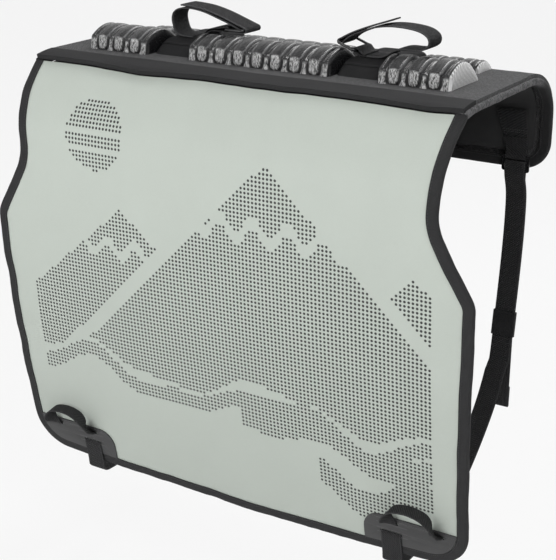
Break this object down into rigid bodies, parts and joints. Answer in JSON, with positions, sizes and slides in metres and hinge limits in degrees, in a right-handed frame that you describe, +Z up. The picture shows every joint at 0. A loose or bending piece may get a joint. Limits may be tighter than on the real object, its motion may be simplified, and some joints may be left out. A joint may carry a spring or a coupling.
{
  "type": "tailgate bike pad",
  "caption": "Padded cover that hangs over a pick-up's tailgate, with ribbed blocks and hook-and-loop straps that hold bike frames and long straps that pass behind.",
  "frame": {"origin": "middle of the flat underside of the saddle's lining, which rests on the tailgate's top edge", "axes": "+X across the tailgate to the right as seen from outside the truck, +Y into the truck bed, +Z up"},
  "size_m": [0.7494, 0.3445, 0.7082],
  "materials": {
    "front_panel": "coated tarpaulin, satin, sage grey with a dotted print in near black",
    "front_binding": "woven binding tape, matt dark grey",
    "saddle_panel": "padded woven fabric, dark grey",
    "saddle_binding": "woven binding tape, matt dark grey",
    "saddle_lining": "smooth lining, black",
    "ribbed_block": "moulded ribbed foam, satin charcoal",
    "cradle_pad": "padded woven fabric, dark grey",
    "hook_strap": "hook-and-loop webbing, black",
    "ring_tab": "webbing, black",
    "strap_ring": "moulded ring, black",
    "corner_patch": "grip patch, satin dark grey",
    "pull_handle": "webbing, black",
    "rear_anchor": "webbing, black",
    "rear_buckle": "moulded buckle, black",
    "rear_strap": "ribbed webbing, black",
    "strap_keeper": "elastic band, black"
  },
  "bodies": {
    "root": {"front_panel": "front_panel", "front_binding": "front_binding", "saddle_panel": "saddle_panel", "saddle_binding": "saddle_binding", "saddle_lining": "saddle_lining", "front_block_left": "ribbed_block", "front_block_centre": "ribbed_block", "front_block_right": "ribbed_block", "rear_block_left": "ribbed_block", "rear_block_centre": "ribbed_block", "rear_block_right": "ribbed_block", "cradle_pad_left": "cradle_pad", "cradle_pad_right": "cradle_pad", "hook_strap_left": "hook_strap", "hook_strap_right": "hook_strap", "ring_tab_left": "ring_tab", "ring_tab_right": "ring_tab", "strap_ring_left": "strap_ring", "strap_ring_right": "strap_ring", "corner_patch_left": "corner_patch", "corner_patch_right": "corner_patch", "pull_handle_left": "pull_handle", "pull_handle_right": "pull_handle", "rear_anchor_left": "rear_anchor", "rear_anchor_right": "rear_anchor", "rear_buckle_left": "rear_buckle", "rear_buckle_right": "rear_buckle", "rear_strap_left": "rear_strap", "rear_strap_right": "rear_strap", "strap_keeper_left": "strap_keeper", "strap_keeper_right": "strap_keeper"}
  },
  "joints": []
}
